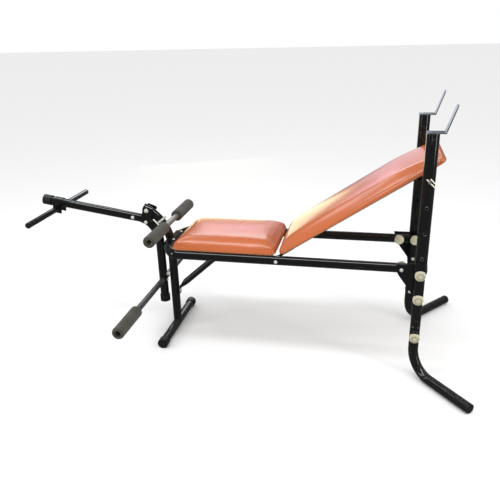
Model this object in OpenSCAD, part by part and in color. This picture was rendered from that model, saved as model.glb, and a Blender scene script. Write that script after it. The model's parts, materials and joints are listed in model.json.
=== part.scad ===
// Adjustable weight bench: a round-tube bench with a hinged backrest, bar catches on two
// uprights, and a leg lever with foam rollers and a weight arm.
// +X runs from the leg lever to the uprights, +Y from the near side to the far side, +Z is up.
// The model is worked out from the front leg's axis and then moved so that the origin lies
// on the floor, under the middle of the bench.

/* [Frame] */
// Distance from the front leg to the uprights
leg_to_upright = 1050; // [950:10:1200]
// Height of the rails' centre line
rail_height = 431; // [400:5:470]
// Distance between the rails' centre lines
rail_spacing = 320; // [300:5:360]
// Outside diameter of the frame tubes
tube_d = 38; // [36:0.5:42]
// Wall of the frame tubes
tube_wall = 1.8; // [1.5:0.1:2.5]
// Radius of the bow across the front of the frame
bow_r = 230; // [220:5:260]
// Bend radius of the rails' front corners
corner_r = 50; // [45:5:60]

/* [Uprights and feet] */
// Height of the uprights
upright_height = 953; // [900:5:1100]
// Wall of the upper uprights
sleeve_wall = 3; // [2:0.1:4]
// Length of the lower upright inside the upper one
sleeve_overlap = 65; // [50:5:90]
// Diameter of the adjustment holes
hole_d = 11; // [10.5:0.1:13]
// Distance between the adjustment holes
hole_pitch = 96.8; // [80:0.2:100]
// Length of a rear foot from the upright's axis to its end
rear_foot_len = 295; // [240:5:340]
// Angle of a rear foot behind straight out to the side
rear_foot_turn = 40; // [20:1:50]
// Bend radius of the rear feet
foot_bend_r = 95; // [70:5:110]
// Length of the front foot without its caps
front_foot_len = 400; // [340:10:480]
// Length of the flared part of a front foot cap
foot_cap_len = 8; // [6:1:14]

/* [Pads] */
// Length of the seat pad
seat_len = 436; // [380:2:440]
// Width of both pads
pad_w = 336; // [290:2:340]
// Thickness of the seat pad with its board
seat_t = 52; // [40:1:60]
// Length of the backrest pad
back_len = 716; // [640:2:760]
// Thickness of the backrest pad with its board
back_t = 46; // [36:1:56]
// Thickness of the boards
board_t = 12; // [9:1:16]
// Backrest angle above level
back_angle = 33.7; // [20:0.1:36]

/* [Leg lever] */
// Radius of the gooseneck's centre line
goose_r = 192; // [180:2:210]
// Gap between the leg and the hanging lever
lever_gap = 15; // [12:1:24]
// Height of the lever's lower end
lever_clear = 130; // [100:5:180]
// Bend radius of the lever's upper end
lever_bend_r = 125; // [115:5:135]
// Height of the lower foam bar
lower_bar_height = 236; // [215:1:270]
// Length of the lower foam bar
lower_bar_len = 990; // [900:10:1060]
// Length of the upper foam bar
upper_bar_len = 508; // [460:4:540]
// Diameter of the foam bars
foam_bar_d = 25; // [22:0.5:28]
// Outside diameter of the foam rollers
foam_d = 50; // [44:1:70]
// Length of a foam roller
foam_len = 190; // [150:5:200]
// Length of the weight arm
arm_len = 448; // [380:4:500]
// Angle of the weight arm above level
arm_angle = 8.5; // [5:0.5:12]
// Length of the weight bar
weight_bar_len = 500; // [400:10:600]
// Diameter of the weight bar
weight_bar_d = 25; // [22:0.5:28]

/* [Bar catches] */
// Length of the catch's base plate
catch_base = 64; // [56:1:80]
// Width of the catch
catch_w = 44; // [36:1:50]
// Length of the catch's prong
prong_len = 98; // [70:2:130]
// Angle of the prong above level
prong_angle = 71.5; // [60:0.5:85]
// Thickness of the catch plate
catch_t = 4; // [3:0.5:6]

/* [Hidden] */
$fn = 64;
eps = 0.01;
tube_r = tube_d / 2;
slip = 0.25;                    // radial gap between the two upright tubes
sleeve_r = tube_r + slip + sleeve_wall;
sleeve_d = 2 * sleeve_r;        // outside diameter of the upper uprights
cap_grow = 3.5;                 // how far the flared caps stand out past their tube
cap_r = tube_r + cap_grow;
rail_y = rail_spacing / 2;

// front leg and gooseneck
goose_z = rail_height - 29;
goose_angle = 66;
pivot_angle = 60;
pivot_x = -goose_r * (1 - cos(pivot_angle));
pivot_z = goose_z + goose_r * sin(pivot_angle);

// bow of the frame
bow_angle = asin((rail_y - corner_r) / (bow_r - corner_r));
corner_x = bow_r - (bow_r - corner_r) * cos(bow_angle);
rail_end_x = leg_to_upright + 24;
front_foot_z = cap_r;

// uprights
plate_t = 5;
upright_y = rail_y + tube_r + plate_t + sleeve_r;
sleeve_z = rail_height - 14;
bolt_drop = 101;                // from the upper to the lower upright bolt
low_bolt_z = 165;
front_bolt_back = 66;           // from the front gusset bolt to the upright
bolt_r = 5;
bolt_gap = 0.2;

// backrest, in its own frame: along from the hinge, up from the board's underside
hinge_x = 500;
hinge_z = rail_height - 1;
back_rise = 9;                  // from the hinge's axis to the board's underside
back_clear = 1.9;               // from the rails up to the pad's lower end
back_start = (rail_height + tube_r + back_clear - hinge_z - back_rise * cos(back_angle))
    / sin(back_angle);          // from the hinge's axis to the pad's lower end
arm_depth = 10;
rod_r = 5;
rod_rest_gap = 0.3;
rod_down = arm_depth - back_rise + rod_rest_gap + rod_r;
rod_x = leg_to_upright;
rod_z = hinge_z + ((rod_x - hinge_x) * sin(back_angle) - rod_down) / cos(back_angle);

// seat
seat_x = 58;
seat_z = rail_height + tube_r + 0.5;
pad_side = 6;

// leg lever
plate_gap = 0.5;                // between the gooseneck and a bracket plate
bracket_t = 4;
bracket_y = tube_r + plate_gap;
lever_x = -(tube_d + lever_gap);
lever_bend_angle = 57;
lever_straight = 12;            // straight stub between the lever's bend and the joint
lever_bend_z = pivot_z - 153;
joint_x = lever_x - lever_bend_r * (1 - cos(lever_bend_angle))
    - lever_straight * sin(lever_bend_angle);
joint_z = lever_bend_z + lever_bend_r * sin(lever_bend_angle)
    + lever_straight * cos(lever_bend_angle);
arm_start = 17;                 // from the joint to the arm's end
arm_plug = 12;                  // length of the arm cap past the tube
weight_bar_back = 60;           // from the arm's free end to the weight bar
weight_bar_bite = 5;            // depth of the weight bar's seat in the arm
foam_bore_gap = 0.08;
saddle_t = 3.5;
foam_angle = 30.5;              // where the upper foam bar crosses the gooseneck
upper_bar_r = goose_r + tube_r + saddle_t + foam_bar_d / 2;
upper_bar_x = -goose_r + upper_bar_r * cos(foam_angle);
upper_bar_z = goose_z + upper_bar_r * sin(foam_angle);

// whole object, for the origin
arm_tip = arm_start + arm_len + arm_plug;
x_low = joint_x - arm_tip * cos(arm_angle) - cap_r * sin(arm_angle);
foot_tip = rear_foot_len + 3;
x_high = leg_to_upright + foot_tip * sin(rear_foot_turn) + tube_r * cos(rear_foot_turn);
x_mid = (x_low + x_high) / 2;

black = "#141416";
vinyl = "#c8652f";
cream = "#d8d4b8";
zinc = "#c9d4da";
foam_grey = "#4b4a3e";

// ---- helpers ---------------------------------------------------------------

// Moves a piece from the leg's axis to the bench's origin.
module place() {
    translate([-x_mid, 0, 0])
        children();
}

// A cylinder along Y, centred on its length.
module bar_y(r, length) {
    rotate([90, 0, 0])
        cylinder(r = r, h = length, center = true);
}

// A piece of tube along Z, solid when wall is 0.
module tube_z(r, length, wall) {
    difference() {
        cylinder(r = r, h = length);
        if (wall > 0)
            translate([0, 0, -eps])
                cylinder(r = r - wall, h = length + 2 * eps);
    }
}

// A bend in the XZ plane that starts straight up at the origin and turns towards -X.
module bend_up(bend_r, angle, r, wall) {
    translate([-bend_r, 0, 0])
        rotate([90, 0, 0])
            rotate_extrude(angle = angle)
                translate([bend_r, 0])
                    difference() {
                        circle(r = r);
                        if (wall > 0)
                            circle(r = r - wall);
                    }
}

// Puts a piece on the near side, or mirrors it to the far side.
module on_side(far) {
    mirror([0, far ? 1 : 0, 0])
        children();
}

// A plate in the XZ plane with its near face at y, drawn by its outline.
module plate_xz(y, thickness) {
    translate([0, y + thickness, 0])
        rotate([90, 0, 0])
            linear_extrude(height = thickness)
                children();
}

// The points of a rectangle with rounded corners, its lower left corner at the origin.
function rounded_points(size_x, size_y, r, steps = 6) = [
    for (corner = [0:3])
        let (cx = corner == 0 || corner == 3 ? size_x - r : r,
             cy = corner < 2 ? size_y - r : r)
            for (i = [0:steps])
                let (a = corner * 90 + i * 90 / steps)
                    [cx + r * cos(a), cy + r * sin(a)]
];

module rounded(size_x, size_y, r) {
    polygon(rounded_points(size_x, size_y, r));
}

// ---- frame -----------------------------------------------------------------

module leg_shape(wall) {
    foot_top = front_foot_z;
    translate([0, 0, foot_top])
        tube_z(tube_r, goose_z - foot_top, wall);
    translate([0, 0, goose_z])
        bend_up(goose_r, goose_angle, tube_r, wall);
}

module front_leg() {
    color(black)
        place()
            difference() {
                leg_shape(tube_wall);
                translate([0, 0, front_foot_z])
                    bar_y(tube_r, tube_d * 2);
                translate([pivot_x, 0, pivot_z])
                    bar_y(bush_r, tube_d * 2);
                translate([0, 0, brace_z])
                    rotate([0, 90, 0])
                        cylinder(r = bolt_r + bolt_gap, h = tube_d);
            }
}

module front_foot() {
    color(black)
        place()
            translate([0, 0, front_foot_z])
                difference() {
                    bar_y(tube_r, front_foot_len);
                    bar_y(tube_r - tube_wall, front_foot_len + 1);
                }
}

// A flared plastic cap that sleeves the end of a tube along Z, closed at the top.
module sleeve_cap(flare, over, plug) {
    difference() {
        translate([0, 0, -over])
            cylinder(r = tube_r + flare, h = over + plug);
        translate([0, 0, -over - eps])
            cylinder(r = tube_r, h = over + eps);
    }
}

module front_foot_caps() {
    color(black)
        place()
            for (side = [-1, 1])
                translate([0, side * front_foot_len / 2, front_foot_z])
                    rotate([-side * 90, 0, 0])
                        sleeve_cap(cap_grow, 22, foot_cap_len);
}

module rail_shape(wall) {
    start = asin(tube_r * 0.6 / bow_r);
    translate([0, 0, rail_height]) {
        translate([bow_r, 0, 0])
            rotate([0, 0, 180 + start])
                rotate_extrude(angle = bow_angle - start)
                    translate([bow_r, 0])
                        tube_section(wall);
        translate([corner_x, -rail_y + corner_r, 0])
            rotate([0, 0, 180 + bow_angle])
                rotate_extrude(angle = 90 - bow_angle)
                    translate([corner_r, 0])
                        tube_section(wall);
        translate([corner_x, -rail_y, 0])
            rotate([0, 90, 0])
                tube_z(tube_r, rail_end_x - corner_x, wall);
    }
}

module tube_section(wall) {
    difference() {
        circle(r = tube_r);
        circle(r = tube_r - wall);
    }
}

module rail(far) {
    on_side(far)
        difference() {
            rail_shape(tube_wall);
            leg_shape(0);
            for (x = [hinge_x, leg_to_upright - front_bolt_back, leg_to_upright])
                translate([x, -rail_y, x == hinge_x ? hinge_z : rail_height])
                    bar_y(bolt_r + bolt_gap, tube_d * 2);
        }
}

module rail_near() {
    color(black)
        place()
            rail(false);
}

module rail_far() {
    color(black)
        place()
            rail(true);
}

module rail_end_plugs() {
    color(black)
        place()
            for (side = [-1, 1])
                translate([rail_end_x, side * rail_y, rail_height])
                    rotate([0, 90, 0])
                        cylinder(r = tube_r - 0.5, h = 4);
}

tie_x = 4;
tie_len = 44;
tie_w = 130;
tie_t = 4;
tie_screw_x = 31;
tie_screw_y = 50;

module tie_plate() {
    color(black)
        place()
            translate([tie_x, -tie_w / 2, rail_height + tube_r])
                difference() {
                    linear_extrude(height = tie_t)
                        rounded(tie_len, tie_w, 6);
                    for (side = [-1, 1])
                        translate([tie_screw_x - tie_x, tie_w / 2 + side * tie_screw_y, -1])
                            cylinder(r = 3.2, h = tie_t + 2);
                    translate([-tie_x, tie_w / 2, goose_z - rail_height - tube_r])
                        bend_up(goose_r, goose_angle, tube_r, 0);
                }
}

module tie_plate_screws() {
    color(zinc)
        place()
            for (side = [-1, 1])
                translate([tie_screw_x, side * tie_screw_y, rail_height + tube_r]) {
                    translate([0, 0, -8])
                        cylinder(r = 3, h = 8 + tie_t + eps);
                    translate([0, 0, -5])
                        cylinder(r = 5.5, h = 5, $fn = 6);
                    translate([0, 0, tie_t])
                        dome(6.5, 4);
                }
}

// A shallow round head: the top slice of a ball.
module dome(r, height) {
    ball = (r * r + height * height) / (2 * height);
    intersection() {
        translate([0, 0, height - ball])
            sphere(r = ball);
        cylinder(r = r, h = height);
    }
}

// A round head on a tube: a skirt cut to the tube, then a dome. +Z points away from the
// tube, and the tube runs along X or along Y.
module saddle_head(r, height, tube_radius, along_x) {
    skirt = tube_radius - sqrt(tube_radius * tube_radius - r * r) + 0.5;
    ball = (r * r + height * height) / (2 * height);
    difference() {
        intersection() {
            translate([0, 0, 0.6 + height - ball])
                sphere(r = ball);
            translate([0, 0, -skirt])
                cylinder(r = r, h = skirt + 0.6 + height);
        }
        tube_cut(tube_radius, 4 * r, along_x);
    }
}

// The tube under a head, for cutting.
module tube_cut(tube_radius, length, along_x) {
    translate([0, 0, -tube_radius])
        rotate(along_x ? [0, 90, 0] : [90, 0, 0])
            cylinder(r = tube_radius, h = length, center = true);
}

crossbar_w = 40;
crossbar_t = 5;
crossbar_z = seat_z - crossbar_t;
crossbar_front_x = 130;
crossbar_rear_x = 312;
seat_screw_y = 90;
wood_screw_r = 2.5;
screw_hole_r = wood_screw_r + 0.2;
screw_in = 8;                   // how far a wood screw goes into its board

// A flat bar from rail to rail, cut to the rails' shape.
module crossbar(x) {
    difference() {
        translate([x - crossbar_w / 2, -rail_y, crossbar_z])
            cube([crossbar_w, rail_spacing, crossbar_t]);
        for (side = [-1, 1])
            translate([x - crossbar_w, side * rail_y, rail_height])
                rotate([0, 90, 0])
                    cylinder(r = tube_r, h = 2 * crossbar_w);
        for (side = [-1, 1])
            translate([x, side * seat_screw_y, crossbar_z - 1])
                cylinder(r = screw_hole_r, h = crossbar_t + 2);
    }
}

module seat_crossbar_front() {
    color(black)
        place()
            crossbar(crossbar_front_x);
}

module seat_crossbar_rear() {
    color(black)
        place()
            difference() {
                crossbar(crossbar_rear_x);
                translate([brace_top_x, 0, crossbar_z - 1])
                    cylinder(r = bolt_r + bolt_gap, h = crossbar_t + 2);
            }
}

// The brace is a tube whose ends are flattened into tabs: one bolts to the back of the
// leg, the other under the rear crossbar.
brace_z = 186;
brace_r = 14;
tab_t = 5;
tab_w = 30;
tab_len = 34;
brace_top_x = crossbar_rear_x;
brace_low = [tube_r, brace_z + 14];
brace_high = [crossbar_rear_x - 16, crossbar_z];
brace_run = brace_high - brace_low;
brace_len = norm(brace_run);
brace_lean = atan2(brace_run[0], brace_run[1]);
brace_flare = 46;               // length over which the tube flattens

module leg_brace() {
    color(black)
        place() {
            difference() {
                translate([tube_r, -tab_w / 2, brace_z - 16])
                    cube([tab_t, tab_w, tab_len]);
                translate([tube_r - 1, 0, brace_z])
                    rotate([0, 90, 0])
                        cylinder(r = bolt_r + bolt_gap, h = tab_t + 2);
            }
            translate([brace_low[0], 0, brace_low[1]])
                rotate([0, brace_lean, 0])
                    brace_tube();
            difference() {
                translate([crossbar_rear_x - 18, -tab_w / 2, crossbar_z - tab_t])
                    cube([tab_len, tab_w, tab_t]);
                translate([brace_top_x, 0, crossbar_z - tab_t - 1])
                    cylinder(r = bolt_r + bolt_gap, h = tab_t + 2);
            }
        }
}

// Round in the middle, pressed flat towards both ends; cut level with leg and crossbar.
module brace_tube() {
    for (end = [0, 1])
        translate([0, 0, end * brace_len])
            mirror([0, 0, end])
                hull() {
                    translate([-tab_t / 2 + (end == 0 ? 3 : -3), -tab_w / 2, 4])
                        cube([tab_t, tab_w, 1]);
                    translate([0, 0, brace_flare])
                        cylinder(r = brace_r, h = 1, $fn = 32);
                }
    translate([0, 0, brace_flare])
        cylinder(r = brace_r, h = brace_len - 2 * brace_flare);
}

module brace_bolts() {
    color(zinc)
        place() {
            translate([tube_r + tab_t, 0, brace_z])
                rotate([0, 90, 0])
                    dome(9, 6);
            translate([-tube_r + 4, 0, brace_z])
                rotate([0, 90, 0])
                    cylinder(r = bolt_r, h = 2 * tube_r + tab_t - 4 + eps);
            translate([brace_top_x, 0, crossbar_z - tab_t])
                rotate([180, 0, 0])
                    dome(9, 6);
            translate([brace_top_x, 0, crossbar_z - tab_t - eps])
                cylinder(r = bolt_r, h = tab_t + crossbar_t);
        }
}

// ---- seat ------------------------------------------------------------------

// A board with rounded corners, in from the pad's outline by inset on every side.
module board(length, width, inset, thickness) {
    translate([inset, -width / 2 + inset, 0])
        linear_extrude(height = thickness)
            rounded(length - 2 * inset, width - 2 * inset, 16);
}

// A pad that wraps its board: rounded in plan, with its top edges taken down by a hull.
module pad(length, width, thickness, lower_round) {
    difference() {
        hull() {
            translate([0, -width / 2, 0])
                linear_extrude(height = thickness - 18)
                    rounded(length, width, 22);
            translate([lower_round, -width / 2 + 14, 0])
                linear_extrude(height = thickness)
                    rounded(length - lower_round - 12, width - 28, 22);
        }
        translate([0, 0, -1])
            board(length, width, pad_side, board_t + 1);
    }
}

module seat_board() {
    color("#7a5a3a")
        place()
            difference() {
                translate([seat_x, 0, seat_z])
                    board(seat_len, pad_w, pad_side, board_t);
                for (x = [crossbar_front_x, crossbar_rear_x], side = [-1, 1])
                    translate([x, side * seat_screw_y, seat_z - 1])
                        cylinder(r = screw_hole_r, h = screw_in + 1.2);
            }
}

module seat_pad() {
    color(vinyl)
        place()
            translate([seat_x, 0, seat_z])
                pad(seat_len, pad_w, seat_t, 12);
}

module seat_screws() {
    color(zinc)
        place()
            for (x = [crossbar_front_x, crossbar_rear_x], side = [-1, 1])
                translate([x, side * seat_screw_y, crossbar_z]) {
                    rotate([180, 0, 0])
                        dome(6, 3.5);
                    translate([0, 0, -eps])
                        cylinder(r = wood_screw_r, h = crossbar_t + screw_in);
                }
}

// ---- uprights and gussets --------------------------------------------------

// Three bolts a side tie rail, gusset and upright together; a fourth closes the foot.
gusset_outline = [[-88, 24], [22, 24], [22, -bolt_drop - 22], [-22, -bolt_drop - 22],
    [-25, -92], [-80, -16]];
gusset_y = rail_y + tube_r;

module gusset(far) {
    on_side(far)
        difference() {
            translate([leg_to_upright, 0, rail_height])
                plate_xz(-gusset_y - plate_t, plate_t)
                    polygon(gusset_outline);
            for (spot = [[-front_bolt_back, 0], [0, 0], [0, -bolt_drop]])
                translate([leg_to_upright + spot[0], -gusset_y, rail_height + spot[1]])
                    bar_y(bolt_r + bolt_gap, 4 * plate_t);
        }
}

module gusset_near() {
    color(black)
        place()
            gusset(false);
}

module gusset_far() {
    color(black)
        place()
            gusset(true);
}

module lower_upright(far) {
    top = sleeve_z + sleeve_overlap;
    bend_top = tube_r + foot_bend_r;
    on_side(far)
        translate([leg_to_upright, -upright_y, 0])
            difference() {
                union() {
                    translate([0, 0, bend_top])
                        tube_z(tube_r, top - bend_top, tube_wall);
                    rotate([0, 0, rear_foot_turn - 90])
                        rear_foot();
                }
                for (z = [rail_height, rail_height - bolt_drop, low_bolt_z])
                    translate([0, 0, z])
                        bar_y(bolt_r + bolt_gap, 2 * tube_d);
            }
}

// The bend at the floor and the foot, running along +X from the upright's axis.
module rear_foot() {
    translate([foot_bend_r, 0, tube_r + foot_bend_r])
        rotate([90, 0, 0])
            rotate([0, 0, 180])
                rotate_extrude(angle = 90)
                    translate([foot_bend_r, 0])
                        tube_section(tube_wall);
    translate([foot_bend_r, 0, tube_r])
        rotate([0, 90, 0])
            tube_z(tube_r, rear_foot_len - foot_bend_r, tube_wall);
}

module lower_upright_near() {
    color(black)
        place()
            lower_upright(false);
}

module lower_upright_far() {
    color(black)
        place()
            lower_upright(true);
}

module rear_foot_caps() {
    color(black)
        place()
            for (far = [false, true])
                on_side(far)
                    translate([leg_to_upright, -upright_y, tube_r])
                        rotate([0, 0, rear_foot_turn - 90])
                            translate([rear_foot_len, 0, 0])
                                rotate([0, 90, 0]) {
                                    cylinder(r = tube_r, h = foot_tip - rear_foot_len);
                                    translate([0, 0, -18])
                                        cylinder(r = tube_r - tube_wall - 0.1, h = 18);
                                }
}

top_t = 4;
screw_r = 4;
screw_gap = 0.2;

module upper_upright(far) {
    on_side(far)
        translate([leg_to_upright, -upright_y, 0])
            difference() {
                translate([0, 0, sleeve_z])
                    cylinder(r = sleeve_r, h = upright_height - sleeve_z);
                translate([0, 0, sleeve_z - 1])
                    cylinder(r = tube_r + slip, h = upright_height - sleeve_z + 1 - top_t);
                translate([catch_screw_x, 0, upright_height - 2 * top_t])
                    cylinder(r = screw_r, h = 3 * top_t);
                for (step = [0:3])
                    translate([0, 0, rod_z - step * hole_pitch])
                        bar_y(hole_d / 2, 2 * sleeve_d);
                translate([0, 0, rail_height])
                    bar_y(bolt_r + bolt_gap, 2 * sleeve_d);
            }
}

module upper_upright_near() {
    color(black)
        place()
            upper_upright(false);
}

module upper_upright_far() {
    color(black)
        place()
            upper_upright(true);
}

dome_r = 7.5;
dome_h = 5.5;

// A bolt along Y on the near side, from its outer end to its inner end.
module side_bolt(x, z, outer, inner) {
    translate([x, -outer, z])
        rotate([-90, 0, 0])
            cylinder(r = bolt_r, h = outer - inner);
}

module dome_y(x, y, z, out) {
    translate([x, y, z])
        rotate([out ? 90 : -90, 0, 0])
            dome(dome_r, dome_h);
}

module frame_bolts() {
    sleeve_face = upright_y + sleeve_r;
    tube_face = upright_y + tube_r;
    tube_back = upright_y - tube_r;
    rail_back = rail_y - tube_r;
    plate_face = gusset_y + plate_t;
    front_x = leg_to_upright - front_bolt_back;
    low_z = rail_height - bolt_drop;
    color(zinc)
        place()
            for (far = [false, true])
                on_side(far) {
                    side_bolt(leg_to_upright, rail_height, sleeve_face, rail_back);
                    side_bolt(leg_to_upright, low_z, tube_face, gusset_y - eps);
                    dome_y(leg_to_upright, -gusset_y, low_z, false);
                    side_bolt(front_x, rail_height, plate_face + eps, rail_back);
                    dome_y(front_x, -plate_face, rail_height, true);
                    side_bolt(leg_to_upright, low_bolt_z, tube_face, tube_back - eps);
                    translate([leg_to_upright, -tube_back, low_bolt_z])
                        rotate([-90, 0, 0])
                            saddle_head(dome_r, dome_h, tube_r, false);
                    difference() {
                        side_bolt_washer(low_z, tube_back, plate_face);
                        side_bolt(leg_to_upright, low_z, tube_face, gusset_y);
                    }
                }
}

// The spacer that fills the gap between the lower upright and the gusset.
module side_bolt_washer(z, outer, inner) {
    translate([leg_to_upright, -outer, z])
        rotate([-90, 0, 0])
            cylinder(r = 11, h = outer - inner);
}

// A large plastic bolt cover: a low dome with a raised button, and a skirt cut to
// the tube that it sits on.
bolt_cap_r = 20;
bolt_cap_h = 8;

module bolt_cap(tube_radius, along_x) {
    skirt = 7;
    difference() {
        union() {
            translate([0, 0, -skirt])
                cylinder(r = bolt_cap_r, h = skirt + 2);
            translate([0, 0, 2])
                dome(bolt_cap_r, bolt_cap_h);
            cylinder(r = 5, h = bolt_cap_h + 3);
        }
        tube_cut(tube_radius, 3 * bolt_cap_r, along_x);
        translate([0, 0, -skirt - 1])
            cylinder(r = bolt_r + bolt_gap, h = skirt + 2);
    }
}

module bolt_caps() {
    front_x = leg_to_upright - front_bolt_back;
    color(cream)
        place()
            for (far = [false, true])
                on_side(far) {
                    translate([leg_to_upright, -upright_y - sleeve_r, rail_height])
                        rotate([90, 0, 0])
                            bolt_cap(sleeve_r, false);
                    for (z = [rail_height - bolt_drop, low_bolt_z])
                        translate([leg_to_upright, -upright_y - tube_r, z])
                            rotate([90, 0, 0])
                                bolt_cap(tube_r, false);
                    for (x = [front_x, leg_to_upright])
                        translate([x, -rail_y + tube_r, rail_height])
                            rotate([-90, 0, 0])
                                bolt_cap(tube_r, true);
                }
}

// ---- bar catches -----------------------------------------------------------

catch_front = 23;               // from the upright's axis to the plate's front edge
catch_screw_x = 3;

module bar_catch(far) {
    on_side(far)
        translate([leg_to_upright, -upright_y, upright_height])
            difference() {
                union() {
                    translate([-catch_front, -catch_w / 2, 0])
                        linear_extrude(height = catch_t)
                            rounded(catch_base, catch_w, 7);
                    translate([catch_base - catch_front - 8, -catch_w / 2, 0])
                        cube([8, catch_w, catch_t]);
                    translate([catch_base - catch_front, -catch_w / 2, 0])
                        rotate([0, -prong_angle, 0])
                            linear_extrude(height = catch_t)
                                prong_outline();
                }
                translate([catch_screw_x, 0, -1])
                    cylinder(r = screw_r, h = catch_t + 2);
                translate([catch_screw_x, 0, 0])
                    cylinder(r1 = screw_r, r2 = screw_r + catch_t, h = catch_t);
            }
}

// Square at the bend, narrower and rounded at the tip.
module prong_outline() {
    tip_r = 9;
    polygon(concat([[0, 0]],
        [for (a = [-90:15:0]) [prong_len - tip_r + tip_r * cos(a), 3 + tip_r + tip_r * sin(a)]],
        [for (a = [0:15:90])
            [prong_len - tip_r + tip_r * cos(a), catch_w - 3 - tip_r + tip_r * sin(a)]],
        [[0, catch_w]]));
}

module bar_catch_near() {
    color(zinc)
        place()
            bar_catch(false);
}

module bar_catch_far() {
    color(zinc)
        place()
            bar_catch(true);
}

module catch_screws() {
    color(black)
        place()
            for (far = [false, true])
                on_side(far)
                    translate([leg_to_upright + catch_screw_x, -upright_y, upright_height]) {
                        translate([0, 0, -top_t - 6])
                            cylinder(r = screw_r - screw_gap, h = top_t + 6 + 1);
                        difference() {
                            cylinder(r1 = screw_r - screw_gap, r2 = screw_r + catch_t
                                - 2 * screw_gap, h = catch_t - screw_gap);
                            translate([0, 0, catch_t - 2])
                                cylinder(r = 2.9, h = 3, $fn = 6);
                        }
                    }
}

// ---- fixed pieces of the leg lever -----------------------------------------

// A foam bar along Y, open at both ends.
module foam_bar(x, z, length) {
    translate([x, 0, z])
        difference() {
            bar_y(foam_bar_d / 2, length);
            bar_y(foam_bar_d / 2 - 2, length + 1);
        }
}

module upper_foam_bar() {
    color("#8b8b86")
        place()
            foam_bar(upper_bar_x, upper_bar_z, upper_bar_len);
}

// The block under the upper foam bar, cut to the gooseneck and to the bar.
module foam_bar_saddle() {
    color(black)
        place()
            difference() {
                translate([-goose_r, 0, goose_z])
                    rotate([0, -foam_angle, 0])
                        translate([goose_r + tube_r - 5, -13, -9])
                            cube([saddle_t + 11, 26, 18]);
                translate([0, 0, goose_z])
                    bend_up(goose_r, goose_angle, tube_r, 0, $fn = 200);
                translate([upper_bar_x, 0, upper_bar_z])
                    bar_y(foam_bar_d / 2, 60);
            }
}

band_angle = 38;
band_w = 9;
band_t = 1.6;

// A clip band round the gooseneck with two ears and their screw.
module gooseneck_band() {
    inner = tube_r + 0.3;
    color(zinc)
        place()
            translate([-goose_r, 0, goose_z])
                rotate([0, -band_angle, 0])
                    translate([goose_r, 0, -band_w / 2])
                        difference() {
                            union() {
                                cylinder(r = inner + band_t, h = band_w);
                                for (side = [-1, 1])
                                    translate([inner, side * 3.2 - band_t / 2, 0])
                                        cube([10, band_t, band_w]);
                                translate([inner + 6, 0, band_w / 2])
                                    bar_y(2, 14);
                            }
                            translate([0, 0, -1])
                                cylinder(r = inner, h = band_w + 2);
                        }
}

stop_z = 264;
stop_gap = 0.3;

// A rubber-tipped stop on the leg that the hanging lever rests against.
module rest_stop() {
    color(cream)
        place()
            translate([-tube_r, 0, stop_z])
                rotate([0, -90, 0])
                    difference() {
                        translate([0, 0, -2])
                            cylinder(r = 8, h = lever_gap + 2 - stop_gap);
                        tube_cut(tube_r, tube_d, true);
                    }
}

bush_r = 9;
pivot_r = 6;
running = 0.05;

module pivot_bush() {
    color("#b0a060")
        place()
            translate([pivot_x, 0, pivot_z])
                difference() {
                    bar_y(bush_r, tube_d + plate_gap);
                    bar_y(pivot_r + running, 2 * tube_d);
                }
}

// ---- backrest --------------------------------------------------------------

arm_y = 115;
arm_w = 30;
lug_t = 5;
lug_r = 11;
spacer_gap = 0.3;

// The backrest's own frame: +X along it from the hinge, +Z away from its underside.
module on_back() {
    place()
        translate([hinge_x, 0, hinge_z])
            rotate([0, -back_angle, 0])
                children();
}

module backrest_board() {
    color("#7a5a3a")
        on_back()
            difference() {
                translate([back_start, 0, back_rise])
                    board(back_len, pad_w, pad_side, board_t);
                for (x = back_screw_x, side = [-1, 1])
                    translate([x, side * arm_y, back_rise - 1])
                        cylinder(r = screw_hole_r, h = screw_in + 1.2);
            }
}

module backrest_pad() {
    color(vinyl)
        on_back()
            translate([back_start, 0, back_rise])
                pad(back_len, pad_w, back_t, 14);
}

back_screw_x = [90, 370, 620];

module backrest_arm(far) {
    wall = 1.6;
    first = 26;
    length = back_len - 60;
    outer = arm_y + arm_w / 2;
    under = back_rise - arm_depth;
    on_side(far)
        difference() {
            union() {
                difference() {
                    translate([first, -outer, under])
                        cube([length, arm_w, arm_depth]);
                    translate([first - 1, -outer + wall, under + wall])
                        cube([length + 2, arm_w - 2 * wall, arm_depth - 2 * wall]);
                }
                plate_xz(-outer - lug_t, lug_t)
                    union() {
                        circle(r = lug_r);
                        translate([0, under])
                            square([80, arm_depth]);
                    }
            }
            bar_y(bolt_r + running, 4 * arm_y);
            for (x = back_screw_x)
                translate([x, -arm_y, under - 1])
                    cylinder(r = screw_hole_r, h = arm_depth + 2);
        }
}

module backrest_arm_near() {
    color(black)
        on_back()
            backrest_arm(false);
}

module backrest_arm_far() {
    color(black)
        on_back()
            backrest_arm(true);
}

module backrest_screws() {
    under = back_rise - arm_depth;
    color(zinc)
        on_back()
            for (x = back_screw_x, side = [-1, 1])
                translate([x, side * arm_y, under]) {
                    rotate([180, 0, 0])
                        dome(6, 3);
                    translate([0, 0, -eps])
                        cylinder(r = wood_screw_r, h = arm_depth + screw_in);
                }
}

module hinge_bolts() {
    outer = rail_y + tube_r;
    lug_face = arm_y + arm_w / 2 + lug_t + spacer_gap;
    nut_face = arm_y + arm_w / 2 - spacer_gap;
    color(zinc)
        place()
            for (far = [false, true])
                on_side(far)
                    translate([hinge_x, 0, hinge_z]) {
                        translate([0, -outer, rail_height - hinge_z])
                            rotate([90, 0, 0])
                                saddle_head(dome_r, dome_h, tube_r, true);
                        side_bolt(0, 0, outer + eps, nut_face - 9);
                        difference() {
                            side_bolt_ring(9, rail_y - tube_r, lug_face);
                            bar_y(bolt_r, 4 * rail_y);
                        }
                        difference() {
                            translate([0, -nut_face, 0])
                                rotate([-90, 0, 0])
                                    cylinder(r = 9, h = 7, $fn = 6);
                            bar_y(bolt_r, 4 * rail_y);
                        }
                    }
}

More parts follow.
